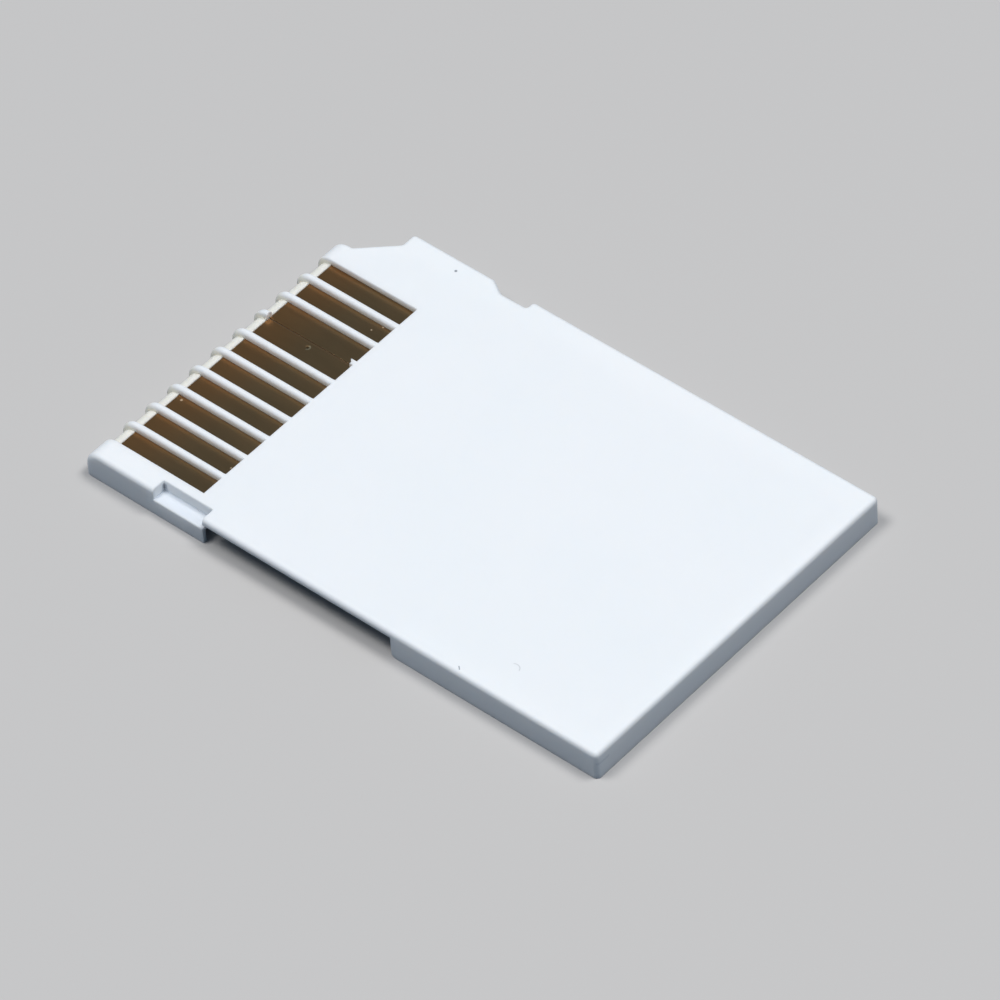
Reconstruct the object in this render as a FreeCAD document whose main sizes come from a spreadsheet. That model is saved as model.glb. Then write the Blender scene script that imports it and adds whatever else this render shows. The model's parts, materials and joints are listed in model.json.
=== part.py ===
"""Memory card adapter: a slim moulded card with a ten-window contact comb and a side slot for a small card.

Millimetres. Origin at the middle of the underside, +Z up to the contact face, +Y towards the contact
end, +X towards the cut corner.
"""
import FreeCAD, Part
import math
import os
import Sketcher

# Driving dimensions: name, value, meaning
SIZES = [
    ("card_width", 20.0, "across X"),
    ("card_length", 31.0, "along Y"),
    ("card_thick", 1.6, "contact face above the underside"),
    ("corner_round", 0.25, "upright outer corners"),
    ("inner_round", 0.12, "small upright corners of the notch and the cut corner"),
    ("notch_round", 0.25, "rear corner of the side notch"),
    ("edge_round", 0.25, "edges of the contact face"),
    ("fine_round", 0.08, "edges of the windows, the ribs and the side recess"),
    ("nose_round", 0.98, "leading edge of the contact face"),
    ("cut_width", 2.45, "front block's side, in from the right side"),
    ("cut_step", 1.15, "length of the front block's side"),
    ("shoulder_width", 0.88, "shoulder behind the cut corner"),
    ("shoulder_back", 2.88, "shoulder behind the leading edge"),
    ("notch_back", 7.9, "front of the side notch behind the leading edge"),
    ("notch_length", 2.36, "side notch along Y"),
    ("notch_ramp", 0.82, "sloping front end of the side notch"),
    ("notch_depth", 0.5, "side notch into the right side"),
    ("face_wall", 0.35, "wall under the contact face"),
    ("wall_left", 1.1, "left wall"),
    ("wall_right", 1.4, "right wall"),
    ("wall_front", 0.9, "front wall"),
    ("wall_rear", 0.8, "rear wall"),
    ("wall_cut", 0.75, "walls at the cut corner"),
    ("ledge", 0.35, "ledge that the cover seats on"),
    ("cover_thick", 0.25, "label-side cover"),
    ("cover_gap", 0.05, "round the cover"),
    ("mouth_back", 7.33, "card mouth behind the leading edge"),
    ("mouth_width", 11.47, "card mouth along Y"),
    ("mouth_round", 0.22, "lower rear corner of the mouth"),
    ("mouth_skin", 0.2, "thin wall left at the mouth's front end"),
    ("mouth_relief", 0.83, "hollow behind that thin wall, along Y"),
    ("recess_back", 4.3, "side recess behind the leading edge"),
    ("recess_width", 0.8, "side recess across X"),
    ("recess_deep", 0.65, "side recess below the contact face"),
    ("window_back", 6.29, "rear end of the windows behind the leading edge"),
    ("window_start", 1.35, "first window in from the left side"),
    ("window_pitch", 1.52, "from one window to the next"),
    ("block_width", 1.3, "least front block between the last window and the cut corner"),
    ("rib_width", 0.31, "rib between two windows"),
    ("bar_round", 0.75, "front bar between the ribs"),
    ("stub_rear", 0.24, "what is left of the broken rib at its root"),
    ("stub_front", 0.12, "what is left of the broken rib at its nose"),
    ("stub_jag", 0.1, "unevenness of the break"),
    ("pad_width", 1.44, "contact pad across X"),
    ("pad_thick", 0.05, "contact pad"),
    ("pad_hidden", 0.3, "length of a pad under the contact face"),
    ("board_thick", 0.2, "circuit board"),
    ("board_gap", 0.04, "round the circuit board"),
    ("peg_round", 0.5, "radius of the locating pegs"),
    ("peg_gap", 0.05, "round each peg"),
    ("peg_inset", 1.2, "pegs in from the inner walls"),
    ("peg_ahead", 1.2, "front peg ahead of the windows' rear end"),
    ("peg_tip", 0.15, "peg below the board"),
    ("slot_depth", 15.0, "card slot in from the left side"),
    ("guide_width", 0.8, "arms of the socket frame"),
    ("bar_width", 1.4, "back bar of the socket frame"),
    ("spring_pitch", 1.1, "from one spring to the next"),
    ("spring_width", 0.5, "spring across Y"),
    ("spring_thick", 0.1, "spring metal"),
    ("spring_gap", 0.05, "beside each spring in its groove"),
    ("spring_tail", 0.15, "soldered end beyond the back bar"),
    ("spring_reach", 2.3, "crest of the spring ahead of the back bar"),
    ("spring_drop", 0.3, "crest of the spring below its root"),
    ("spring_tip", 0.5, "turned-up end of the spring"),
    ("spring_lift", 0.18, "rise of the turned-up end"),
    ("thumb_depth", 1.6, "cover cut back at the mouth, from the left side"),
    ("thumb_scoop", 1.9, "round scoop beyond that"),
    ("thumb_half", 3.6, "half the scoop's width"),
    ("chip_size", 5.0, "controller, square"),
    ("chip_thick", 0.6, "controller"),
    ("chip_edge", 0.12, "rounding of the controller's upright edges"),
    ("small_length", 1.0, "chip component"),
    ("small_width", 0.5, "chip component"),
    ("small_thick", 0.4, "chip component"),
    ("small_pitch", 1.3, "between chip components"),
    ("small_beside", 1.4, "chip components beside the controller"),
]
BROKEN_RIB = 7      # ribs are counted from the left
SPRINGS = 8
SMALL_PARTS = 3     # of each kind
OVERCUT = 0.5       # how far cutting profiles run into open air
TOUCH = 1e-6        # how near a point counts as on a place

doc = FreeCAD.newDocument("memory_card_adapter")
sheet = doc.addObject("Spreadsheet::Sheet", "Sizes")
for row, (alias, value, meaning) in enumerate(SIZES, start=1):
    sheet.set(f"A{row}", alias)
    sheet.set(f"B{row}", str(value))
    sheet.setAlias(f"B{row}", alias)
    sheet.set(f"C{row}", meaning)
doc.recompute()


def size(*terms):
    """An expression on the sheet: words are sizes, and everything else stays as it is."""
    known = {alias for alias, value, meaning in SIZES}
    text = " ".join(str(term) for term in terms)
    for mark in "()+-*/":
        text = text.replace(mark, f" {mark} ")
    return "(" + " ".join(f"Sizes.{w}" if w in known else w for w in text.split()) + ")"


def number(expression):
    return float(sheet.evalExpression(expression))


# As many windows as the card's width has room for: ten on the real card
ROW_WIDTH = size("card_width - window_start - block_width - cut_width + rib_width")
WINDOWS = math.floor(number(f"{ROW_WIDTH} / {size('window_pitch')}") + TOUCH)

# Planes of the card
LEFT = size("-card_width / 2")
RIGHT = size("card_width / 2")
REAR = size("-card_length / 2")
FRONT = size("card_length / 2")
FACE = size("card_thick")
ROOF = size("card_thick - face_wall")
BOARD_TOP = size("card_thick - face_wall - pad_thick")
BOARD_UNDER = size("card_thick - face_wall - pad_thick - board_thick")
MOUTH_FRONT = size("card_length / 2 - mouth_back")
MOUTH_REAR = size("card_length / 2 - mouth_back - mouth_width")
MOUTH_MIDDLE = size("card_length / 2 - mouth_back - mouth_width / 2")
WINDOW_REAR = size("card_length / 2 - window_back")
INNER_FRONT = size("card_length / 2 - wall_front")
NOSE_Y = size("card_length / 2 - nose_round")
NOSE_Z = size("card_thick - nose_round")
RECESS_X = size("recess_width - card_width / 2")
RECESS_FRONT = size("card_length / 2 - recess_back")
RECESS_FLOOR = size("card_thick - recess_deep")
COMB_LEFT = size("window_start - card_width / 2")
COMB_RIGHT = size(f"window_start - card_width / 2 + window_pitch * {WINDOWS} - rib_width")
SLOT_END = size("slot_depth - card_width / 2")

# Just outside the card
BELOW = f"(-{OVERCUT})"
ABOVE = f"({FACE} + {OVERCUT})"
BESIDE = f"({LEFT} - {OVERCUT})"
AHEAD = f"({FRONT} + {OVERCUT})"


def plane(body, role):
    return next(f for f in body.Origin.OriginFeatures if f.Role == role)


def sketch(body, name, role, path, arcs=None, offset="0"):
    """A closed profile through the points of path, each a pair of expressions.
    arcs gives, for the side that leaves a point, its radius, its centre and whether it runs anticlockwise."""
    arcs = arcs or {}
    drawing = body.newObject("Sketcher::SketchObject", name)
    drawing.AttachmentSupport = [(plane(body, role), "")]
    drawing.MapMode = "FlatFace"
    drawing.setExpression("AttachmentOffset.Base.z", offset)
    points = [FreeCAD.Vector(number(x), number(y), 0) for x, y in path]
    count = len(points)
    ends = []
    for i, start in enumerate(points):
        stop = points[(i + 1) % count]
        if i not in arcs:
            drawing.addGeometry(Part.LineSegment(start, stop), False)
            ends.append((1, 2))
            continue
        radius, centre_x, centre_y, anticlockwise = arcs[i]
        centre = FreeCAD.Vector(number(centre_x), number(centre_y), 0)
        first, last = (start, stop) if anticlockwise else (stop, start)
        angles = [math.atan2(p.y - centre.y, p.x - centre.x) for p in (first, last)]
        if angles[1] < angles[0]:
            angles[1] += 2 * math.pi
        circle = Part.Circle(centre, FreeCAD.Vector(0, 0, 1), number(radius))
        drawing.addGeometry(Part.ArcOfCircle(circle, angles[0], angles[1]), False)
        ends.append((1, 2) if anticlockwise else (2, 1))
    for i in range(count):
        after = (i + 1) % count
        drawing.addConstraint(Sketcher.Constraint("Coincident", i, ends[i][1], after, ends[after][0]))
    for i, (x, y) in enumerate(path):
        for kind, expression in (("DistanceX", x), ("DistanceY", y)):
            limit = Sketcher.Constraint(kind, -1, 1, i, ends[i][0], number(expression))
            drawing.setExpression(f"Constraints[{drawing.addConstraint(limit)}]", expression)
    for i, (radius, centre_x, centre_y, anticlockwise) in arcs.items():
        limit = Sketcher.Constraint("Radius", i, number(radius))
        drawing.setExpression(f"Constraints[{drawing.addConstraint(limit)}]", radius)
    return drawing


def discs(body, name, role, centres, radius, offset):
    """A sketch of equal circles."""
    drawing = body.newObject("Sketcher::SketchObject", name)
    drawing.AttachmentSupport = [(plane(body, role), "")]
    drawing.MapMode = "FlatFace"
    drawing.setExpression("AttachmentOffset.Base.z", offset)
    for i, (x, y) in enumerate(centres):
        centre = FreeCAD.Vector(number(x), number(y), 0)
        drawing.addGeometry(Part.Circle(centre, FreeCAD.Vector(0, 0, 1), number(radius)), False)
        for kind, item, expression in (("DistanceX", 3, x), ("DistanceY", 3, y)):
            limit = Sketcher.Constraint(kind, -1, 1, i, item, number(expression))
            drawing.setExpression(f"Constraints[{drawing.addConstraint(limit)}]", expression)
        limit = Sketcher.Constraint("Radius", i, number(radius))
        drawing.setExpression(f"Constraints[{drawing.addConstraint(limit)}]", radius)
    return drawing


def rectangle(x0, y0, x1, y1):
    return [(x0, y0), (x1, y0), (x1, y1), (x0, y1)]


def pad(body, name, profile, length, reverse=False):
    feature = body.newObject("PartDesign::Pad", name)
    feature.Profile = profile
    feature.setExpression("Length", length)
    feature.Reversed = reverse
    doc.recompute()
    return feature


def pocket(body, name, profile, length, reverse=False, through=False):
    """Cuts along the sketch's normal if reverse is set, and otherwise against it."""
    before = body.Shape.Volume
    feature = body.newObject("PartDesign::Pocket", name)
    feature.Profile = profile
    feature.Reversed = reverse
    if through:
        feature.Type = "ThroughAll"
        feature.Midplane = True
    else:
        feature.setExpression("Length", length)
    doc.recompute()
    if not body.Shape.Volume < before:
        raise RuntimeError(f"{name} cuts nothing")
    return feature


def row_of(body, name, feature, direction, pitch, count):
    """Repeats a feature along a sketch axis."""
    pattern = body.newObject("PartDesign::LinearPattern", name)
    pattern.Originals = [feature]
    pattern.Direction = direction
    pattern.Mode = "Spacing"
    pattern.setExpression("Offset", pitch)
    pattern.Occurrences = count
    body.Tip = pattern
    doc.recompute()
    return pattern


def fillet(body, name, radius, wanted):
    """Rounds the edges of the body's present shape that wanted() accepts."""
    base = body.Tip
    names = [f"Edge{i}" for i, edge in enumerate(base.Shape.Edges, start=1) if wanted(edge)]
    feature = body.newObject("PartDesign::Fillet", name)
    feature.Base = (base, names)
    feature.setExpression("Radius", radius)
    doc.recompute()
    return feature


def new_body(label):
    body = doc.addObject("PartDesign::Body", label)
    body.Label = label
    return body


def upright_at(corners):
    """Accepts the upright edges that stand on these corners."""
    places = [(number(x), number(y)) for x, y in corners]

    def wanted(edge):
        low, high = edge.Vertexes[0].Point, edge.Vertexes[-1].Point
        if math.hypot(low.x - high.x, low.y - high.y) > TOUCH:
            return False
        return any(math.hypot(low.x - x, low.y - y) < TOUCH for x, y in places)
    return wanted


def middle_of(edge):
    return edge.valueAt((edge.FirstParameter + edge.LastParameter) / 2)


def on_skin(out, up, radius):
    """Whether a point lies on the outside of the card: on a side, on the contact face or on the round
    between them. out and up are how far it lies beyond that side and above the face."""
    if out > -radius and up > -radius:
        return abs(math.hypot(out + radius, up + radius) - radius) < TOUCH
    return abs(out) < TOUCH or abs(up) < TOUCH


# Middle of the free space between the socket frame and the rear wall
BAY_MIDDLE = size("(wall_rear - mouth_back - mouth_width - guide_width) / 2")

# The cut corner: its sloping side runs from the front block's side down to the shoulder
CUT_X = size("card_width / 2 - cut_width")
CUT_Y = size("card_length / 2 - cut_step")
SHOULDER_X = size("card_width / 2 - shoulder_width")
SHOULDER_Y = size("card_length / 2 - shoulder_back")
CUT_RUN = size("cut_width - shoulder_width")
CUT_FALL = size("shoulder_back - cut_step")
CUT_SLOPE = f"sqrt({CUT_RUN} ^ 2 + {CUT_FALL} ^ 2)"


def inside_cut(x, inset):
    """Where a line inside the sloping side, and parallel to it, passes x."""
    return f"({CUT_Y} + ({CUT_FALL} * ({CUT_X} - {x}) - {inset} * {CUT_SLOPE}) / {CUT_RUN})"


def inner_outline(inset):
    """The plan of the inner walls, moved inwards by inset."""
    left = f"({size('wall_left - card_width / 2')} + {inset})"
    right = f"({size('card_width / 2 - wall_right')} - {inset})"
    rear = f"({size('wall_rear - card_length / 2')} + {inset})"
    front = f"({INNER_FRONT} - {inset})"
    block = f"({size('card_width / 2 - cut_width - wall_cut')} - {inset})"
    slope = f"({size('wall_cut')} + {inset})"
    return [(left, rear), (right, rear), (right, inside_cut(right, slope)),
            (block, inside_cut(block, slope)), (block, front), (left, front)]


def peg_places():
    left = size("wall_left - card_width / 2 + peg_inset")
    right = size("card_width / 2 - wall_right - peg_inset")
    rear = size("wall_rear - card_length / 2 + peg_inset")
    return [(left, rear), (right, rear), (right, size("card_length / 2 - window_back + peg_ahead"))]


def shell_block(body):
    """The outline with its notch and cut corner, the rounded nose and the rounded rim."""
    notch_front = size("card_length / 2 - notch_back")
    notch_rear = size("card_length / 2 - notch_back - notch_length")
    notch_foot = size("card_length / 2 - notch_back - notch_ramp")
    notch_x = size("card_width / 2 - notch_depth")
    outline = [(LEFT, REAR), (RIGHT, REAR), (RIGHT, notch_rear), (notch_x, notch_rear),
               (notch_x, notch_foot), (RIGHT, notch_front), (RIGHT, SHOULDER_Y),
               (SHOULDER_X, SHOULDER_Y), (CUT_X, CUT_Y), (CUT_X, FRONT), (LEFT, FRONT)]
    pad(body, "shell_block", sketch(body, "shell_outline", "XY_Plane", outline), FACE)
    fillet(body, "shell_corners", size("corner_round"), upright_at([outline[i] for i in (0, 1, 6)]))
    fillet(body, "notch_corner", size("notch_round"), upright_at([outline[2]]))
    fillet(body, "shell_small_corners", size("inner_round"),
           upright_at([outline[i] for i in (3, 4, 5, 7, 8)]))

    nose = [(FRONT, NOSE_Z), (AHEAD, NOSE_Z), (AHEAD, ABOVE), (NOSE_Y, ABOVE), (NOSE_Y, FACE)]
    profile = sketch(body, "nose_profile", "YZ_Plane", nose,
                     arcs={4: (size("nose_round"), NOSE_Y, NOSE_Z, False)})
    pocket(body, "nose", profile, None, through=True)

    top = number(FACE)
    start_of_nose = number(NOSE_Y)

    def on_the_rim(edge):
        ends = [v.Point for v in edge.Vertexes]
        if any(abs(p.z - top) > TOUCH for p in ends):
            return False
        return any(abs(p.y - start_of_nose) > TOUCH for p in ends)
    fillet(body, "shell_rim", size("edge_round"), on_the_rim)


def side_recess(body):
    """A shallow step in the left side, ahead of the card mouth."""
    profile = sketch(body, "recess_plan", "XY_Plane",
                     rectangle(BESIDE, MOUTH_FRONT, RECESS_X, RECESS_FRONT), offset=RECESS_FLOOR)
    pocket(body, "side_recess", profile, size("recess_deep + edge_round"), reverse=True)

    left, top, rim = number(LEFT), number(FACE), number(size("edge_round"))
    walls = [("x", number(RECESS_X)), ("y", number(MOUTH_FRONT)), ("y", number(RECESS_FRONT)),
             ("z", number(RECESS_FLOOR))]

    def round_the_recess(edge):
        p = middle_of(edge)
        on_a_wall = any(abs(getattr(p, axis) - place) < TOUCH for axis, place in walls)
        return on_a_wall and on_skin(left - p.x, p.z - top, rim)
    fillet(body, "recess_edges", size("fine_round"), round_the_recess)


def card_mouth(body):
    """The hollow inside, the cover's rebate, and the opening for the small card in the left side."""
    profile = sketch(body, "hollow_plan", "XY_Plane", inner_outline("0"))
    pocket(body, "hollow", profile, ROOF, reverse=True)
    profile = sketch(body, "rebate_plan", "XY_Plane", inner_outline(size("-ledge")))
    pocket(body, "cover_rebate", profile, size("cover_thick"), reverse=True)

    round_end = size("mouth_round")
    mouth = [(MOUTH_FRONT, BELOW), (MOUTH_FRONT, ROOF), (MOUTH_REAR, ROOF), (MOUTH_REAR, round_end),
             (f"({MOUTH_REAR} - {round_end})", "0"), (f"({MOUTH_REAR} - {round_end})", BELOW)]
    profile = sketch(body, "mouth_profile", "YZ_Plane", mouth, offset=LEFT,
                     arcs={3: (round_end, f"({MOUTH_REAR} - {round_end})", round_end, False)})
    pocket(body, "card_mouth", profile, size("wall_left"), reverse=True)

    skin = size("mouth_skin - card_width / 2")
    inner_left = size("wall_left - card_width / 2")
    relief_front = f"({MOUTH_FRONT} + {size('mouth_relief')})"
    profile = sketch(body, "relief_plan", "XY_Plane",
                     rectangle(skin, MOUTH_FRONT, inner_left, relief_front))
    pocket(body, "mouth_relief", profile, f"({RECESS_FLOOR} - {size('mouth_skin')})", reverse=True)


def contact_comb(body):
    """Windows over the contact pads: round-nosed ribs between them, and a round bar across the front."""
    bar_z = size("card_thick - face_wall - bar_round")
    bar_front = size("card_length / 2 - wall_front + bar_round")
    window = [(WINDOW_REAR, ABOVE), (WINDOW_REAR, BOARD_TOP),
              (f"({INNER_FRONT} - {size('pad_thick')})", BOARD_TOP), (INNER_FRONT, ROOF),
              (bar_front, bar_z), (AHEAD, bar_z), (AHEAD, ABOVE)]
    profile = sketch(body, "window_profile", "YZ_Plane", window, offset=COMB_LEFT,
                     arcs={3: (size("bar_round"), INNER_FRONT, bar_z, False)})
    first = pocket(body, "window", profile, size("window_pitch - rib_width"), reverse=True)
    row_of(body, "windows", first, (profile, ["N_Axis"]), size("window_pitch"), WINDOWS)

    top, lead, rear = number(FACE), number(FRONT), number(WINDOW_REAR)
    nose = number(size("nose_round"))
    comb_left, comb_right = number(COMB_LEFT), number(COMB_RIGHT)

    def round_the_comb(edge):
        p = middle_of(edge)
        if not comb_left - TOUCH < p.x < comb_right + TOUCH:
            return False
        if abs(edge.Vertexes[0].X - edge.Vertexes[-1].X) > TOUCH:
            return abs(p.y - rear) < TOUCH and abs(p.z - top) < TOUCH
        return on_skin(p.y - lead, p.z - top, nose)
    fillet(body, "comb_edges", f"min({size('fine_round')}; {size('rib_width')} / 3)", round_the_comb)


def broken_rib(body):
    """One rib is snapped off, and leaves an uneven stub at each end."""
    rib_right = size(f"window_start - card_width / 2 + window_pitch * {BROKEN_RIB}")
    rib_left = f"({rib_right} - {size('rib_width')})"
    margin = size("rib_width / 4")
    root = f"({WINDOW_REAR} + {size('stub_rear')})"
    jag = size("stub_jag")
    end = f"({INNER_FRONT} - {size('stub_front')})"
    broken = [(f"({rib_left} - {margin})", root), (f"({rib_left} + {margin})", f"({root} - {jag})"),
              (f"({rib_right} - {margin})", f"({root} + {jag} / 2)"), (f"({rib_right} + {margin})", root),
              (f"({rib_right} + {margin})", end), (f"({rib_left} + 2 * {margin})", f"({end} + {jag})"),
              (f"({rib_left} - {margin})", end)]
    profile = sketch(body, "break_plan", "XY_Plane", broken, offset=BOARD_TOP)
    pocket(body, "broken_rib", profile, size("face_wall + pad_thick + edge_round"), reverse=True)


def contact_shell():
    """White moulding: contact face with its comb, side walls, and everything cut into them."""
    body = new_body("contact_shell")
    shell_block(body)
    side_recess(body)
    card_mouth(body)
    contact_comb(body)
    broken_rib(body)
    profile = discs(body, "peg_plan", "XY_Plane", peg_places(), size("peg_round"), ROOF)
    pad(body, "locating_pegs", profile, size("pad_thick + board_thick + peg_tip"), reverse=True)
    return body


def label_cover():
    """Thin plate let into the underside, cut back in a thumb scoop at the card mouth."""
    body = new_body("label_cover")
    outline = inner_outline(size("cover_gap - ledge"))
    pad(body, "cover_plate", sketch(body, "cover_outline", "XY_Plane", outline), size("cover_thick"))
    back = size("thumb_depth - card_width / 2")
    front = f"({MOUTH_FRONT} + {size('mouth_relief')})"
    half = size("thumb_half")
    sag = size("thumb_scoop")
    radius = f"(({half} ^ 2 + {sag} ^ 2) / (2 * {sag}))"
    thumb = [(BESIDE, MOUTH_REAR), (back, MOUTH_REAR), (back, f"({MOUTH_MIDDLE} - {half})"),
             (back, f"({MOUTH_MIDDLE} + {half})"), (back, front), (BESIDE, front)]
    profile = sketch(body, "thumb_plan", "XY_Plane", thumb,
                     arcs={2: (radius, f"({back} + {sag} - {radius})", MOUTH_MIDDLE, True)})
    pocket(body, "thumb_scoop", profile, size("cover_thick"), reverse=True)
    return body


def circuit_board():
    """Board under the contact face, located on the shell's pegs."""
    body = new_body("circuit_board")
    profile = sketch(body, "board_outline", "XY_Plane", inner_outline(size("board_gap")), offset=BOARD_UNDER)
    pad(body, "board_plate", profile, size("board_thick"))
    profile = discs(body, "peg_hole_plan", "XY_Plane", peg_places(), size("peg_round + peg_gap"), BOARD_UNDER)
    pocket(body, "peg_holes", profile, size("board_thick"), reverse=True)
    return body


def box(label, length, width, height, x, y, z):
    """A plain block by its sizes and lowest corner."""
    block = doc.addObject("Part::Box", label)
    block.Label = label
    for name, expression in (("Length", length), ("Width", width), ("Height", height),
                             ("Placement.Base.x", x), ("Placement.Base.y", y), ("Placement.Base.z", z)):
        block.setExpression(name, expression)
    return block


def contact_pads():
    """Gold-plated pads on the board, one under each window."""
    rear = f"({WINDOW_REAR} - {size('pad_hidden')})"
    length = size("window_back + pad_hidden - wall_front - board_gap")
    spare = size("(pad_width + rib_width - window_pitch) / 2")
    return [box(f"contact_pad_{i + 1:02d}", size("pad_width"), length, size("pad_thick"),
                f"({size(f'window_start - card_width / 2 + window_pitch * {i}')} - {spare})", rear, BOARD_TOP)
            for i in range(WINDOWS)]


def spring_middle(i):
    return f"({MOUTH_MIDDLE} + {size('spring_pitch')} * {i - (SPRINGS - 1) / 2})"


def socket_frame():
    """U-shaped moulding between cover and board: two guides for the small card and a grooved back bar."""
    body = new_body("socket_frame")
    start = size("wall_left - card_width / 2 + board_gap")
    end = f"({SLOT_END} + {size('bar_width')})"
    front = f"({MOUTH_FRONT} + {size('guide_width')})"
    rear = f"({MOUTH_REAR} - {size('guide_width')})"
    plan = [(start, rear), (end, rear), (end, front), (start, front), (start, MOUTH_FRONT),
            (SLOT_END, MOUTH_FRONT), (SLOT_END, MOUTH_REAR), (start, MOUTH_REAR)]
    profile = sketch(body, "socket_plan", "XY_Plane", plan, offset=size("cover_thick"))
    pad(body, "socket_block", profile, f"({BOARD_UNDER} - {size('cover_thick')})")
    half = size("spring_width / 2 + spring_gap")
    groove = rectangle(f"({SLOT_END} - {OVERCUT})", f"({spring_middle(0)} - {half})",
                       f"({end} + {OVERCUT})", f"({spring_middle(0)} + {half})")
    profile = sketch(body, "groove_plan", "XY_Plane", groove, offset=BOARD_UNDER)
    first = pocket(body, "spring_groove", profile, size("spring_thick"))
    row_of(body, "spring_grooves", first, (profile, ["V_Axis"]), size("spring_pitch"), SPRINGS)
    return body


def card_springs():
    """Stamped springs: a soldered tail in the groove, a sloping arm and a turned-up tip."""
    thick = size("spring_thick")
    tail = f"({SLOT_END} + {size('bar_width + spring_tail')})"
    crest = f"({SLOT_END} - {size('spring_reach')})"
    tip = f"({crest} - {size('spring_tip')})"
    low = f"({BOARD_UNDER} - {size('spring_drop')})"
    high = f"({low} + {size('spring_lift')})"
    upper = [(tail, BOARD_UNDER), (SLOT_END, BOARD_UNDER), (crest, low), (tip, high)]
    lower = [(x, f"({z} - {thick})") for x, z in reversed(upper)]
    springs = []
    for i in range(SPRINGS):
        body = new_body(f"card_spring_{i + 1}")
        side = f"(-{spring_middle(i)} - {size('spring_width / 2')})"
        profile = sketch(body, f"spring_profile_{i + 1}", "XZ_Plane", upper + lower, offset=side)
        pad(body, f"spring_strip_{i + 1}", profile, size("spring_width"))
        springs.append(body)
    return springs


def controller_chip():
    """Flat package on the underside of the board, behind the card slot."""
    corner = size("-chip_size / 2")
    rear = f"({BAY_MIDDLE} - {size('chip_size / 2')})"
    under = f"({BOARD_UNDER} - {size('chip_thick')})"
    block = box("chip_block", size("chip_size"), size("chip_size"), size("chip_thick"), corner, rear, under)
    doc.recompute()
    chip = doc.addObject("Part::Fillet", "controller_chip")
    chip.Label = "controller_chip"
    chip.Base = block
    edge = number(size("chip_edge"))
    chip.Edges = [(i, edge, edge) for i, e in enumerate(block.Shape.Edges, start=1)
                  if abs(e.tangentAt(e.FirstParameter).z) > 0.5]
    return chip


def small_parts():
    """Chip capacitors and resistors in two columns beside the controller."""
    made = []
    under = f"({BOARD_UNDER} - {size('small_thick')})"
    right = size("chip_size / 2 + small_beside")
    left = size("-chip_size / 2 - small_beside - small_length")
    for kind, x in (("capacitor", left), ("resistor", right)):
        for i in range(SMALL_PARTS):
            step = size(f"small_pitch * {i - (SMALL_PARTS - 1) / 2} - small_width / 2")
            y = f"({BAY_MIDDLE} + {step})"
            made.append(box(f"{kind}_{i + 1}", size("small_length"), size("small_width"),
                            size("small_thick"), x, y, under))
    return made


pieces = [contact_shell(), label_cover(), circuit_board(), socket_frame(), controller_chip()]
pieces += contact_pads() + card_springs() + small_parts()
doc.recompute()

for item in doc.Objects:
    if "Invalid" in item.State or "Error" in item.State:
        raise RuntimeError(f"{item.Label} failed: {item.State}")
for piece in pieces:
    if piece.Shape.isNull() or not piece.Shape.isValid():
        raise RuntimeError(f"{piece.Label} has no valid shape")

os.makedirs("parts", exist_ok=True)
for piece in pieces:
    piece.Shape.exportStep(f"parts/{piece.Label}.step")
    print(piece.Label, len(piece.Shape.Solids), round(piece.Shape.Volume, 4), piece.Shape.BoundBox)
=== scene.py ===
"""Looks of the memory card adapter: finishes, finer pieces, floor, light and the photograph's camera."""
import json
import math

import bmesh
import bpy
from mathutils import Matrix, Vector


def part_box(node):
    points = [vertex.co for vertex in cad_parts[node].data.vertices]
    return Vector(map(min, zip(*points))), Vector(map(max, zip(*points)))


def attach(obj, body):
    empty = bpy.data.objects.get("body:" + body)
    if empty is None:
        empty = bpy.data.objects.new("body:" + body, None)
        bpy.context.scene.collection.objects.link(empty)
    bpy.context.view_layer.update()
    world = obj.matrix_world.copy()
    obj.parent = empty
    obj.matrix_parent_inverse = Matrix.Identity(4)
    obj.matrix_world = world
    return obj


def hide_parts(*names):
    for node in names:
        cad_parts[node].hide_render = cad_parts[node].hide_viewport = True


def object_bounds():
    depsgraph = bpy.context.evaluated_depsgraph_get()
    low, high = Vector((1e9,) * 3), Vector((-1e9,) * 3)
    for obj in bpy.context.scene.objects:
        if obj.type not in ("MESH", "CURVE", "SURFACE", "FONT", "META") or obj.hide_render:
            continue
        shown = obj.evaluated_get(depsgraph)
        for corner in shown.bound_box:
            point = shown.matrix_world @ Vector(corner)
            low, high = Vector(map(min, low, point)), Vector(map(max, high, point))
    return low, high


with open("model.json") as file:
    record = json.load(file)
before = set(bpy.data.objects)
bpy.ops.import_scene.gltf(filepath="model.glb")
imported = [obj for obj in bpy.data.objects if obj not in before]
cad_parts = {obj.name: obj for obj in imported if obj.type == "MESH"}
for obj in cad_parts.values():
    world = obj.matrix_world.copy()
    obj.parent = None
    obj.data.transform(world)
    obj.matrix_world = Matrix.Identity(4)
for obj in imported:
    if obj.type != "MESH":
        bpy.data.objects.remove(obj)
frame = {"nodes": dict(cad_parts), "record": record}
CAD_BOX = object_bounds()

MM = 0.001
BODY = "root"
ACROSS = Vector((1, 0, 0))
ALONG = Vector((0, 1, 0))
UP = Vector((0, 0, 1))
nodes = frame["nodes"]
slot_of = {entry["node"]: entry["material_slot"] for entry in frame["record"]["subparts"]}


def box_of(node):
    """Low and high corner of a CAD node, in millimetres."""
    return [Vector(corner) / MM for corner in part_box(node)]


# Lengths below are in millimetres, and places count from the middle of the card's underside

# Camera of the photograph, with angles in degrees
CAMERA_AZIMUTH = -45.96
CAMERA_ELEVATION = 46.41
CAMERA_ROLL = -4.69
CAMERA_DISTANCE = 384.3
CAMERA_RIGHT = 0.887
CAMERA_UP = -0.152
LENS = 301.0
SENSOR = 36.0
NEAREST = 10
FARTHEST = 10000

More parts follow.
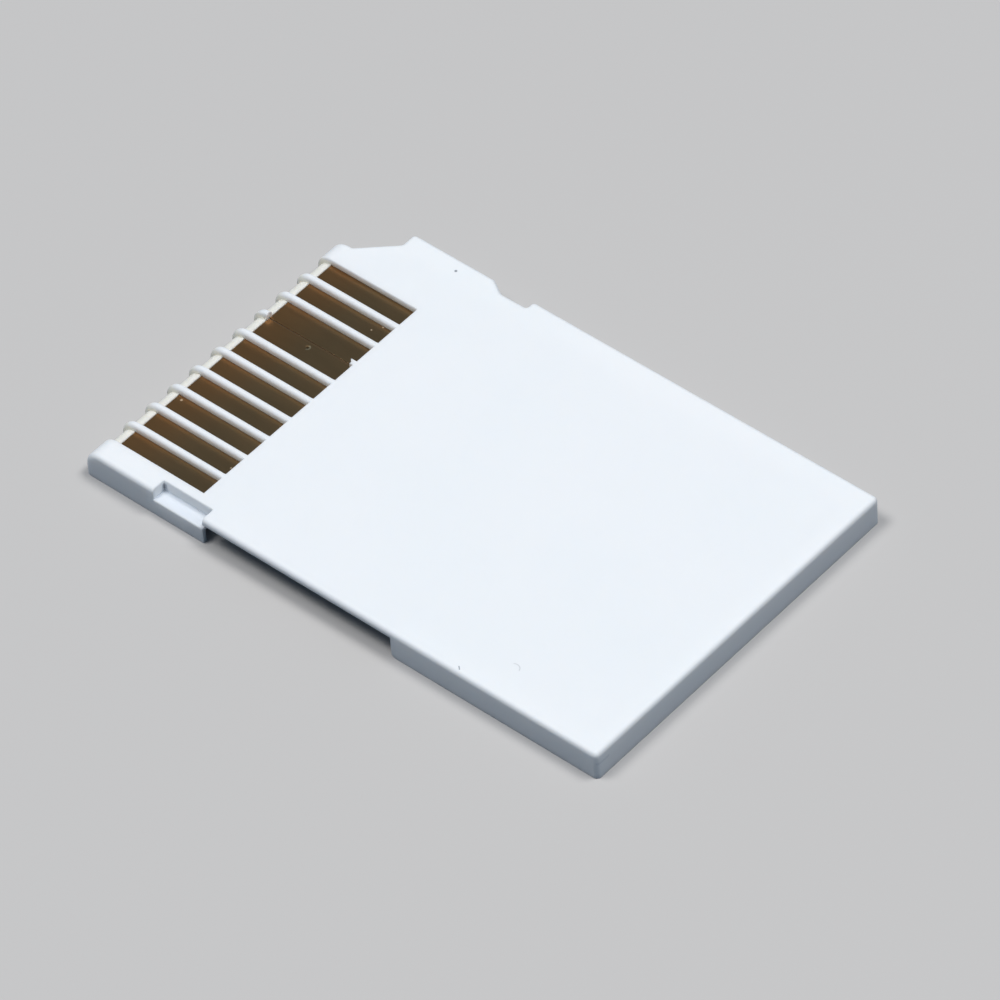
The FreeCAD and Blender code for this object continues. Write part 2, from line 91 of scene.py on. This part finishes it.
# Card, as the frame has it
LEFT_SIDE = CAD_BOX[0][0] / MM
LEADING_END = CAD_BOX[1][1] / MM
FACE = CAD_BOX[1][2] / MM
first_pad, second_pad, last_pad = (box_of(f"contact_pad_{number}") for number in ("01", "02", "10"))
PAD_LEFT = first_pad[0].x
PAD_RIGHT = last_pad[1].x
PAD_REAR = first_pad[0].y
PAD_FRONT = first_pad[1].y
PAD_TOP = first_pad[1].z
PAD_PITCH = second_pad[0].x - first_pad[0].x
PAD_GAP = second_pad[0].x - first_pad[1].x
BOARD_UNDER = box_of("circuit_board")[0].z

# Recess in the left side
RECESS_BACK = -9.2
RECESS_FLOOR = 0.95

# Ribs of the comb in the solid, which has eased edges and a round nose
RIBS = 9
BROKEN_RIB = 7
RIB_HALF = 0.155
RIB_EASE = 0.08
RIB_REAR = 9.21
RIB_LOWEST = 0.6
RIB_DEPTH = FACE - PAD_TOP
NOSE_ROUND = 0.98
NOSE_Y = LEADING_END - NOSE_ROUND
NOSE_Z = FACE - NOSE_ROUND

# Ribs as they are moulded: half round, with drafted sides
RIB_ROUND = 0.185
RIB_DRAFT = math.radians(5)
RIB_CROWN = math.radians(80)
RIB_BLEND = 0.12
BLEND_STARTS = math.radians(10)
BLEND_ENDS = math.radians(40)

# Eased edges, bends of the springs between their tips, and tinned caps of the small components
EASE = 0.03
FINE_EASE = 0.012
PAD_CORNER = 0.03
PAD_EASE = 0.006
BEND = 0.18
SPRING_TIP = 0.05
CAP = 0.23
CAP_LIP = 0.01
CAP_STEP = 0.02

# Tinned lands and the dimple of the chip
LAND_PITCH = 0.65
LAND_HALF = 0.13
LAND_HEIGHT = 0.2
DIMPLE = 0.7

# Marks of use and a dark spot in the corner of the recess: across and along the card, and the half width of a
# speck
DOT = (9.26, 9.39)
TICK = (-9.7, -7.2)
TICK_SLANT = 0.9
ARC = (-8.25, -9.15)
ARC_ROUND = 0.3
ARC_START = (-8.15, -9.2)
ARC_SLANT = 0.4
RECESS_SPOT = (-9.22, 11.16)
DENT = (1.48, 11.85)
SPECKS = ((-4.66, 14.24, 0.03), (4.16, 10.23, 0.02), (4.62, 9.9, 0.02), (-6.5, 9.49, 0.02))

# Floor, and the soft boxes with their watts
FLOOR_HALF = 1000
FLOOR_DROP = 0.01
SOFT_BOXES = {"rear_box": ((190, -260, 825), 4.25), "front_box": ((-230, 230, 825), 3.65)}
BOX_SIDE = 340
BOX_TINT = (0.985, 0.99, 1.0)
SKY = (0.55, 0.75, 1.0, 1.0)
SKY_STRENGTH = 0.15

# Corners this close are merged, and places this close count as the same
TOUCH = 0.0001
SLACK = 0.005

# Angles past which an edge is eased, stays sharp on the shell, bounds a flat face, or leaves an axis
SHARP = math.radians(40)
CREASE = math.radians(35)
FLAT = math.radians(1)
SKEW = math.radians(25)


class Value:
    """A shader socket that takes part in Python arithmetic; each operation adds a Math node."""

    def __init__(self, finish, socket):
        self.finish = finish
        self.socket = socket

    def math(self, operation, *others):
        return self.finish.node("ShaderNodeMath", {"operation": operation}, dict(enumerate((self, *others))))

    def __add__(self, other):
        return self.math("ADD", other)

    def __sub__(self, other):
        return self.math("SUBTRACT", other)

    def __mul__(self, other):
        return self.math("MULTIPLY", other)

    def __truediv__(self, other):
        return self.math("DIVIDE", other)

    def __rsub__(self, other):
        return self.finish.node("ShaderNodeMath", {"operation": "SUBTRACT"}, {0: other, 1: self})

    __radd__ = __add__
    __rmul__ = __mul__

    def __abs__(self):
        return self.math("ABSOLUTE")

    def most(self, other):
        return self.math("MAXIMUM", other)

    def least(self, other):
        return self.math("MINIMUM", other)

    def wave(self, period):
        """Up and down between 0 and half the period."""
        return self.math("PINGPONG", period / 2)

    def rise(self, start, stop):
        """0 below start and 1 above stop, eased between them."""
        return self.finish.node("ShaderNodeMapRange", {"interpolation_type": "SMOOTHSTEP"},
                                {"Value": self, "From Min": start, "From Max": stop})

    def fall(self, start, stop):
        """1 below start and 0 above stop, eased between them."""
        return 1 - self.rise(start, stop)

    def band(self, low, high, soft):
        """1 between low and high, with soft edges."""
        return self.rise(low - soft, low + soft) * self.fall(high - soft, high + soft)


class Finish:
    """One material, with a Principled shader whose sockets take numbers, colours or Values."""

    def __init__(self, name, **constants):
        self.material = bpy.data.materials.new(name)
        self.material.use_nodes = True
        self.tree = self.material.node_tree
        self.shader = self.tree.nodes["Principled BSDF"]
        self.place = self.node("ShaderNodeTexCoord", out="Object")
        for socket, value in constants.items():
            self.set(socket.replace("_", " "), value)

    def node(self, kind, settings=None, inputs=None, out=0):
        """Adds a node, sets its settings first and then its sockets, and returns one output."""
        made = self.tree.nodes.new(kind)
        for name, value in (settings or {}).items():
            setattr(made, name, value)
        for name, value in (inputs or {}).items():
            self.feed(made.inputs[name], value)
        return Value(self, made.outputs[out])

    def set(self, socket, value):
        """Gives one socket of the shader a number, a colour or a Value."""
        self.feed(self.shader.inputs[socket], value)

    def feed(self, socket, value):
        """Links a Value to a socket, or writes a constant into it."""
        if isinstance(value, Value):
            self.tree.links.new(value.socket, socket)
        else:
            socket.default_value = value

    def axis(self, name):
        """One coordinate of the surface point, in millimetres."""
        return self.node("ShaderNodeSeparateXYZ", inputs={0: self.place}, out=name) / MM

    def away(self, x, y):
        """Distance in plan from a place on the card, in millimetres."""
        across, along = self.axis("X") - x, self.axis("Y") - y
        return (across * across + along * along).math("SQRT")

    def beside(self, x, y, slant):
        """Distance across the card from a slanting line through a place, in millimetres."""
        return self.axis("X") - x - slant * (self.axis("Y") - y)

    def noise(self, scale, stretch=(1, 1, 1), detail=3.0):
        """Noise around 0.5, with features of about one over scale millimetres."""
        size = tuple(scale * share / MM for share in stretch)
        spot = self.node("ShaderNodeMapping", {"vector_type": "POINT"},
                         {"Vector": self.place, "Scale": size}, out="Vector")
        return self.node("ShaderNodeTexNoise", None, {"Vector": spot, "Scale": 1.0, "Detail": detail},
                         out="Fac")

    def mix(self, share, first, second):
        """Colour from first to second."""
        return self.node("ShaderNodeMix", {"data_type": "RGBA"}, {0: share, 6: first, 7: second}, out=2)

    def bump(self, height, depth):
        """Relief of the given depth in millimetres where height goes from 0 to 1."""
        self.set("Normal", self.node("ShaderNodeBump", None, {"Height": height, "Distance": depth * MM},
                                     out="Normal"))


def colour(red, green, blue):
    """A colour written as 0 to 255 display values."""
    def linear(value):
        value /= 255
        return value / 12.92 if value <= 0.04045 else ((value + 0.055) / 1.055) ** 2.4
    return (linear(red), linear(green), linear(blue), 1.0)


def rib_middle(number):
    """Place across the card of a rib of the comb, counted from 1 at the left."""
    return PAD_LEFT - PAD_GAP / 2 + number * PAD_PITCH


def white_plastic(name, worn_and_painted_light):
    """Bluish white moulding with a fine satin grain; on the shell also the marks of use and painted light."""
    finish = Finish(name, IOR=1.5, Subsurface_Weight=0.7, Subsurface_Scale=0.4 * MM,
                    Subsurface_Radius=(1.0, 0.95, 0.9))
    cloud = finish.noise(0.15, detail=2.0)
    base = finish.mix(cloud, colour(241, 246, 252), colour(247, 251, 254))
    grain = finish.noise(16.0)
    rough = 0.46 + 0.14 * grain
    if worn_and_painted_light:
        base = use_marks_and_painted_light(finish, base)
        rough = rough + 0.1 * finish.noise(1.2, stretch=(1, 0.25, 1))
    finish.set("Base Color", base)
    finish.set("Roughness", rough)
    finish.bump(grain, 0.0015)
    return finish.material


def use_marks_and_painted_light(finish, base):
    """Painted warm reflection of the gold pads low in the comb, painted shade on the floor of the side
    recess, and the scuffs.
    """
    across, along, height = finish.axis("X"), finish.axis("Y"), finish.axis("Z")
    # Painted warm reflection of the gold pads, strongest low on the walls of the comb
    comb = across.band(PAD_LEFT, PAD_RIGHT, 0.05) * along.rise(PAD_REAR, PAD_REAR + 0.5)
    below = height.rise(0.2, 0.5) * height.fall(PAD_TOP, FACE - 0.02)
    base = finish.mix(0.55 * comb * below, base, colour(244, 233, 206))
    # Painted shade on the floor of the side recess
    recess_shade = height.band(RECESS_FLOOR - 0.07, RECESS_FLOOR + 0.07, 0.02)
    recess_shade = recess_shade * across.band(LEFT_SIDE + 0.05, RECESS_BACK + 0.05, 0.03)
    base = finish.mix(recess_shade, base, colour(230, 235, 241))
    return finish.mix(0.8 * scuffs(finish), base, colour(70, 72, 76))


def scuffs(finish):
    """The marks on the contact side: a dot, a tick, a fine arc, and a dark spot in the inner corner of the
    recess.
    """
    height = finish.axis("Z")
    dot = finish.away(*DOT).fall(0.03, 0.1)
    tick = abs(finish.beside(*TICK, TICK_SLANT)).fall(0.02, 0.05) * finish.away(*TICK).fall(0.1, 0.14)
    arc = abs(finish.away(*ARC) - ARC_ROUND).fall(0.01, 0.04)
    arc = arc * finish.beside(*ARC_START, ARC_SLANT).rise(0.0, 0.1)
    # A dark spot on the walls in the inner corner of the recess
    recess_spot = finish.away(*RECESS_SPOT).fall(0.05, 0.2) * height.band(RECESS_FLOOR + 0.1, FACE - 0.2, 0.1)
    on_face = height.rise(FACE - 0.4, FACE - 0.3)
    return (on_face * (dot + 0.8 * tick + 0.3 * arc) + 0.6 * recess_spot).least(1.0)


def pad_gold():
    """Gold plating dulled to bronze: redder in front, rubbed, with painted shade along the rib feet, specks,
    and a dent with a painted highlight and painted shade.
    """
    finish = Finish("pad_gold", Metallic=1.0)
    across, along = finish.axis("X"), finish.axis("Y")
    rub = finish.noise(5.0, stretch=(1, 0.05, 1), detail=2.0)
    patch = finish.noise(0.6, stretch=(1, 0.6, 1), detail=2.0)
    ahead = (along + 1.6 * patch).rise(PAD_FRONT - 2.6, PAD_FRONT + 0.9)
    base = finish.mix(ahead, colour(180, 146, 104), colour(206, 149, 94))
    base = finish.mix(0.5 * patch, base, colour(128, 104, 74))
    # Painted shade along the foot of each rib, left out where the rib is broken off
    rib_foot_shade = (across - rib_middle(0)).wave(PAD_PITCH).fall(0.2, 0.42)
    rib_foot_shade = rib_foot_shade * abs(across - rib_middle(BROKEN_RIB)).rise(0.5, 0.6)
    base = finish.mix(0.5 * rib_foot_shade, base, colour(70, 54, 36))
    specks = sum(finish.away(x, y).fall(half, 3 * half) for x, y, half in SPECKS)
    base = finish.mix(0.8 * specks, base, colour(250, 226, 190))
    dent = finish.away(*DENT)
    # Painted highlight on the near rim of the dent
    painted_glint = dent.band(0.09, 0.16, 0.03) * along.fall(DENT[1] - 0.05, DENT[1] + 0.05)
    base = finish.mix(0.9 * painted_glint, base, colour(255, 230, 180))
    # Painted shade in the hollow of the dent
    base = finish.mix(0.5 * dent.fall(0.03, 0.08), base, colour(60, 46, 30))
    finish.set("Base Color", base)
    finish.set("Roughness", 0.3 + 0.04 * rub + 0.2 * specks)
    finish.bump(dent.rise(0.02, 0.16), 0.016)
    return finish.material


def board_mask():
    """Dark solder mask with raised tracks that run back from the pads; bare laminate between the pads."""
    finish = Finish("board_laminate", IOR=1.5)
    track = (finish.axis("X") - PAD_LEFT).wave(PAD_PITCH / 2).fall(0.07, 0.1)
    track = track * finish.noise(0.35, stretch=(1, 0.2, 1), detail=1.0).rise(0.42, 0.46)
    weave = finish.noise(6.0)
    base = finish.mix(weave, colour(50, 44, 33), colour(60, 53, 39))
    bare = finish.axis("Y").rise(PAD_REAR - 0.15, PAD_REAR - 0.1)
    base = finish.mix(bare, base, finish.mix(weave, colour(86, 68, 48), colour(96, 78, 55)))
    track = track * (1 - bare)
    finish.set("Base Color", finish.mix(0.5 * track, base, colour(96, 82, 52)))
    finish.set("Roughness", 0.3 + 0.15 * weave)
    finish.bump(track + 0.1 * weave, 0.02)
    return finish.material


def socket_polymer():
    """Charcoal glass-filled moulding with a streaky matte skin."""
    finish = Finish("socket_plastic", IOR=1.5)
    streak = finish.noise(5.0, stretch=(0.3, 1, 1), detail=4.0)
    finish.set("Base Color", finish.mix(streak, colour(36, 36, 38), colour(52, 52, 54)))
    finish.set("Roughness", 0.45 + 0.2 * streak)
    finish.bump(streak, 0.006)
    return finish.material


def spring_flash():
    """Stamped metal with a bright gold flash, rolled along its length."""
    finish = Finish("spring_metal", Metallic=1.0)
    rolled = finish.noise(14.0, stretch=(0.05, 1, 1))
    finish.set("Base Color", finish.mix(rolled, colour(232, 200, 132), colour(208, 172, 104)))
    finish.set("Roughness", 0.2 + 0.15 * rolled)
    finish.bump(rolled, 0.002)
    return finish.material


def chip_resin():
    """Black moulded resin with tinned lands along its upper edges and a dimple in one corner."""
    finish = Finish("chip_resin", IOR=1.55)
    low, high = box_of("controller_chip")
    middle, half = (low + high) / 2, (high.x - low.x) / 2
    across, along = finish.axis("X"), finish.axis("Y")
    rows = [place.wave(LAND_PITCH).fall(LAND_HALF - 0.01, LAND_HALF + 0.01) for place in (across, along)]
    at_side = abs(across - middle.x).most(abs(along - middle.y)).rise(half - 0.02, half - 0.01)
    at_top = finish.axis("Z").rise(BOARD_UNDER - LAND_HEIGHT, BOARD_UNDER - LAND_HEIGHT + 0.01)
    land = at_side * rows[0].most(rows[1]) * at_top
    grain = finish.noise(18.0)
    resin = finish.mix(grain, colour(26, 26, 28), colour(40, 40, 42))
    finish.set("Base Color", finish.mix(land, resin, colour(205, 206, 208)))
    finish.set("Metallic", land)
    finish.set("Roughness", 0.6 - 0.3 * land)
    dimple = finish.away(low.x + DIMPLE, low.y + DIMPLE).fall(0.22, 0.3)
    finish.bump(0.15 * grain - dimple, 0.04)
    return finish.material


def tinned_ends(name, node, body_dark, body_light, roughness):
    """A fired body with tinned caps on both ends."""
    finish = Finish(name, IOR=1.6)
    low, high = box_of(node)
    body = (high.x - low.x) / 2 - CAP
    cap = abs(finish.axis("X") - (low.x + high.x) / 2).rise(body - 0.01, body + 0.01)
    grain = finish.noise(12.0)
    tin = finish.mix(grain, colour(196, 198, 200), colour(214, 215, 216))
    finish.set("Base Color", finish.mix(cap, finish.mix(grain, body_dark, body_light), tin))
    finish.set("Metallic", cap)
    finish.set("Roughness", roughness + 0.1 * grain)
    finish.bump(grain, 0.003)
    return finish.material


FINISHES = {
    "shell_plastic": white_plastic("shell_plastic", True),
    "cover_plastic": white_plastic("cover_plastic", False),
    "pad_gold": pad_gold(),
    "board_laminate": board_mask(),
    "socket_plastic": socket_polymer(),
    "spring_metal": spring_flash(),
    "chip_resin": chip_resin(),
    "capacitor_ceramic": tinned_ends("capacitor_ceramic", "capacitor_1", colour(142, 108, 76),
                                     colour(168, 132, 96), 0.45),
    "resistor_ceramic": tinned_ends("resistor_ceramic", "resistor_1", colour(24, 24, 26),
                                    colour(38, 38, 40), 0.25),
}


def dress(node):
    """Puts the finish of its slot on a CAD node."""
    mesh = nodes[node].data
    mesh.materials.clear()
    mesh.materials.append(FINISHES[slot_of[node]])


def stand_for(node, bm, crease=None):
    """Makes a bmesh a smooth piece that stands for a CAD node; edges past the crease angle stay sharp."""
    name = f"{node}_look"
    mesh = bpy.data.meshes.new(name)
    bm.to_mesh(mesh)
    bm.free()
    if mesh.has_custom_normals:
        mesh.attributes.remove(mesh.attributes["custom_normal"])
    mesh.shade_smooth()
    mesh.materials.append(FINISHES[slot_of[node]])
    piece = bpy.data.objects.new(name, mesh)
    bpy.context.scene.collection.objects.link(piece)
    flats = piece.modifiers.new("flats", "WEIGHTED_NORMAL")
    flats.weight = 100
    if crease:
        mesh.set_sharp_from_angle(angle=crease)
        flats.keep_sharp = True
    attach(piece, BODY)
    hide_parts(node)


def block(node):
    """A bmesh box that fills a CAD node's own box."""
    low, high = (Vector(corner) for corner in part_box(node))
    bm = bmesh.new()
    bmesh.ops.create_cube(bm, size=1.0)
    bmesh.ops.scale(bm, vec=high - low, verts=bm.verts)
    bmesh.ops.translate(bm, vec=(low + high) / 2, verts=bm.verts)
    return bm


def merged(node):
    """A copy of a CAD node's mesh with its loose triangles joined."""
    bm = bmesh.new()
    bm.from_mesh(nodes[node].data)
    bmesh.ops.remove_doubles(bm, verts=bm.verts, dist=TOUCH * MM)
    return bm


def whole(node):
    """A merged copy of a CAD node's mesh, with each flat face in one piece."""
    bm = merged(node)
    bmesh.ops.dissolve_limit(bm, angle_limit=FLAT, verts=bm.verts, edges=bm.edges)
    return bm


def soften(bm, edges, radius, segments=2):
    """Rounds edges to a radius in millimetres."""
    bmesh.ops.bevel(bm, geom=edges, offset=radius * MM, affect="EDGES", segments=segments, profile=0.5,
                    material=-1, clamp_overlap=True)


def sharp(bm):
    """Edges that turn by more than a rounding's own facets do."""
    return [edge for edge in bm.edges if edge.is_manifold and edge.calc_face_angle() > SHARP]


def running(bm, axis):
    """Edges that run along an axis."""
    return [edge for edge in bm.edges
            if abs((edge.verts[0].co - edge.verts[1].co).normalized().dot(axis)) > math.cos(SKEW)]


def contact_pad(node):
    """Etched pad: upright corners slightly round, upper edges eased."""
    bm = block(node)
    soften(bm, running(bm, UP), PAD_CORNER)
    top = max(vert.co.z for vert in bm.verts)
    rim = [edge for edge in bm.edges if all(abs(vert.co.z - top) < TOUCH * MM for vert in edge.verts)]
    soften(bm, rim, PAD_EASE)
    stand_for(node, bm)


def card_spring(node):
    """Stamped strip with round bends and eased edges."""
    low, high = box_of(node)
    bm = whole(node)
    bends = [edge for edge in running(bm, ALONG)
             if low.x + SPRING_TIP < edge.verts[0].co.x / MM < high.x - SPRING_TIP]
    soften(bm, bends, BEND, segments=5)
    soften(bm, sharp(bm), FINE_EASE)
    stand_for(node, bm)


def chip_component(node):
    """Fired body between two slightly thicker tinned caps."""
    low, high = box_of(node)
    middle = (low.x + high.x) / 2
    bm = block(node)
    for x in (low.x + CAP, high.x - CAP):
        bmesh.ops.bisect_plane(bm, geom=[*bm.verts, *bm.edges, *bm.faces], plane_co=ACROSS * x * MM,
                               plane_no=ACROSS)
    body = [face for face in bm.faces if abs(face.calc_center_median().x / MM - middle) < SLACK]
    bmesh.ops.inset_region(bm, faces=body, thickness=CAP_LIP * MM, depth=-CAP_STEP * MM, use_even_offset=True)
    soften(bm, sharp(bm), FINE_EASE)
    stand_for(node, bm)


def eased(node):
    """The CAD form with its sharp edges eased."""
    bm = whole(node)
    soften(bm, sharp(bm), EASE)
    stand_for(node, bm)


def round_section(across, depth, on_bar):
    """Moves a point of the solid's rib section, across from its middle and down, to the round section."""
    low = RIB_ROUND * (1 - math.sin(RIB_DRAFT))
    if depth < RIB_EASE - SLACK:
        flat = RIB_HALF - RIB_EASE
        turn = math.atan2(RIB_EASE - depth, max(abs(across) - flat, 0.0)) / math.radians(90)
        angle = RIB_DRAFT + (RIB_CROWN - RIB_DRAFT) * turn
        side = max(-1.0, min(across / flat, 1.0))
        return side * RIB_ROUND * math.cos(angle), RIB_ROUND * (1 - math.sin(angle))
    below = depth
    if not on_bar:
        below = low + (RIB_DEPTH - low) * (depth - RIB_EASE) / (RIB_DEPTH - RIB_EASE)
    half = RIB_ROUND * math.cos(RIB_DRAFT) + (below - low) * math.tan(RIB_DRAFT)
    return across * half / RIB_HALF, below


def on_round_rib(point, middle):
    """Where a point of the solid's rib lies on the round rib, which fades out down the nose."""
    ahead, up = max(point.y - NOSE_Y, 0.0), point.z - NOSE_Z
    reach = math.hypot(ahead, up)
    depth = NOSE_ROUND - reach
    if depth > RIB_DEPTH + SLACK:
        return point
    across = point.x - middle
    wide, below = round_section(across, depth, ahead > SLACK and depth > RIB_EASE + SLACK)
    share = (math.atan2(up, ahead) - BLEND_STARTS) / (BLEND_ENDS - BLEND_STARTS)
    share = max(0.0, min(share, 1.0))
    across += share * (wide - across)
    depth += share * (below - depth)
    scale = (NOSE_ROUND - depth) / reach
    return Vector((middle + across, point.y + ahead * (scale - 1), NOSE_Z + up * scale))


def round_rib(bm, middle):
    """Makes one rib half round on a wider foot, from a short blend at its rear to its nose."""
    def on_rib(vert, rear):
        x, y, z = vert.co / MM
        return abs(x - middle) < RIB_HALF + SLACK and y > rear - SLACK and z > RIB_LOWEST

    start = RIB_REAR + RIB_BLEND
    faces = dict.fromkeys(face for vert in bm.verts if on_rib(vert, NOSE_Y) for face in vert.link_faces)
    edges = dict.fromkeys(edge for face in faces for edge in face.edges)
    verts = dict.fromkeys(vert for face in faces for vert in face.verts)
    bmesh.ops.bisect_plane(bm, geom=[*verts, *edges, *faces], plane_co=ALONG * start * MM, plane_no=ALONG)
    for vert in bm.verts:
        if on_rib(vert, start):
            vert.co = on_round_rib(vert.co / MM, middle) * MM


def moulding(node):
    """The moulded shell with the ribs of its comb rounded, apart from the one that is broken off."""
    bm = merged(node)
    for number in range(1, RIBS + 1):
        if number != BROKEN_RIB:
            round_rib(bm, rib_middle(number))
    stand_for(node, bm, CREASE)


for node in list(nodes):
    if node == "contact_shell":
        moulding(node)
    elif node.startswith("contact_pad"):
        contact_pad(node)
    elif node.startswith("card_spring"):
        card_spring(node)
    elif node.startswith(("capacitor", "resistor")):
        chip_component(node)
    elif node in ("controller_chip", "socket_frame", "label_cover"):
        eased(node)
    else:
        dress(node)


def floor():
    """A plain pale surface under the card, darker in the light that it throws back on the card."""
    bm = bmesh.new()
    bmesh.ops.create_grid(bm, x_segments=1, y_segments=1, size=FLOOR_HALF * MM)
    bmesh.ops.translate(bm, vec=-FLOOR_DROP * MM * UP, verts=bm.verts)
    mesh = bpy.data.meshes.new("floor")
    bm.to_mesh(mesh)
    bm.free()
    board = bpy.data.objects.new("floor", mesh)
    bpy.context.scene.collection.objects.link(board)
    finish = Finish("pale_floor", Roughness=0.7)
    seen = sum(finish.node("ShaderNodeLightPath", out=f"Is {ray} Ray")
               for ray in ("Camera", "Glossy", "Transmission"))
    finish.set("Base Color", finish.mix(seen, colour(66, 79, 92), colour(200, 197, 194)))
    mesh.materials.append(finish.material)


def soft_box(name, place, watts):
    """A square soft box aimed at the card."""
    data = bpy.data.lights.new(name, "AREA")
    data.shape = "SQUARE"
    data.size = BOX_SIDE * MM
    data.energy = watts
    data.color = BOX_TINT
    box = bpy.data.objects.new(name, data)
    box.location = Vector(place) * MM
    box.rotation_euler = (-box.location).to_track_quat("-Z", "Y").to_euler()
    bpy.context.scene.collection.objects.link(box)


def light():
    """A faint sky and the soft boxes."""
    world = bpy.data.worlds.new("studio")
    world.use_nodes = True
    background = world.node_tree.nodes["Background"]
    background.inputs["Color"].default_value = SKY
    background.inputs["Strength"].default_value = SKY_STRENGTH
    bpy.context.scene.world = world
    for name, (place, watts) in SOFT_BOXES.items():
        soft_box(name, place, watts)


def camera():
    """The camera that the photograph was taken with, as fitted to the card's outline."""
    azimuth = math.radians(CAMERA_AZIMUTH)
    elevation = math.radians(CAMERA_ELEVATION)
    roll = math.radians(CAMERA_ROLL)
    back = Vector((math.sin(azimuth) * math.cos(elevation), -math.cos(azimuth) * math.cos(elevation),
                   math.sin(elevation)))
    level = Vector((math.cos(azimuth), math.sin(azimuth), 0))
    upright = back.cross(level)
    right = math.cos(roll) * level + math.sin(roll) * upright
    up = math.cos(roll) * upright - math.sin(roll) * level
    data = bpy.data.cameras.new("photo_camera")
    data.lens = LENS
    data.sensor_width = SENSOR
    data.clip_start = NEAREST * MM
    data.clip_end = FARTHEST * MM
    view = bpy.data.objects.new("photo_camera", data)
    place = (back * CAMERA_DISTANCE + right * CAMERA_RIGHT + up * CAMERA_UP) * MM
    turn = Matrix((right, up, back)).transposed()
    view.matrix_world = Matrix.Translation(place) @ turn.to_4x4()
    bpy.context.scene.collection.objects.link(view)
    bpy.context.scene.camera = view


floor()
light()
camera()
bpy.context.scene.view_settings.view_transform = "Standard"
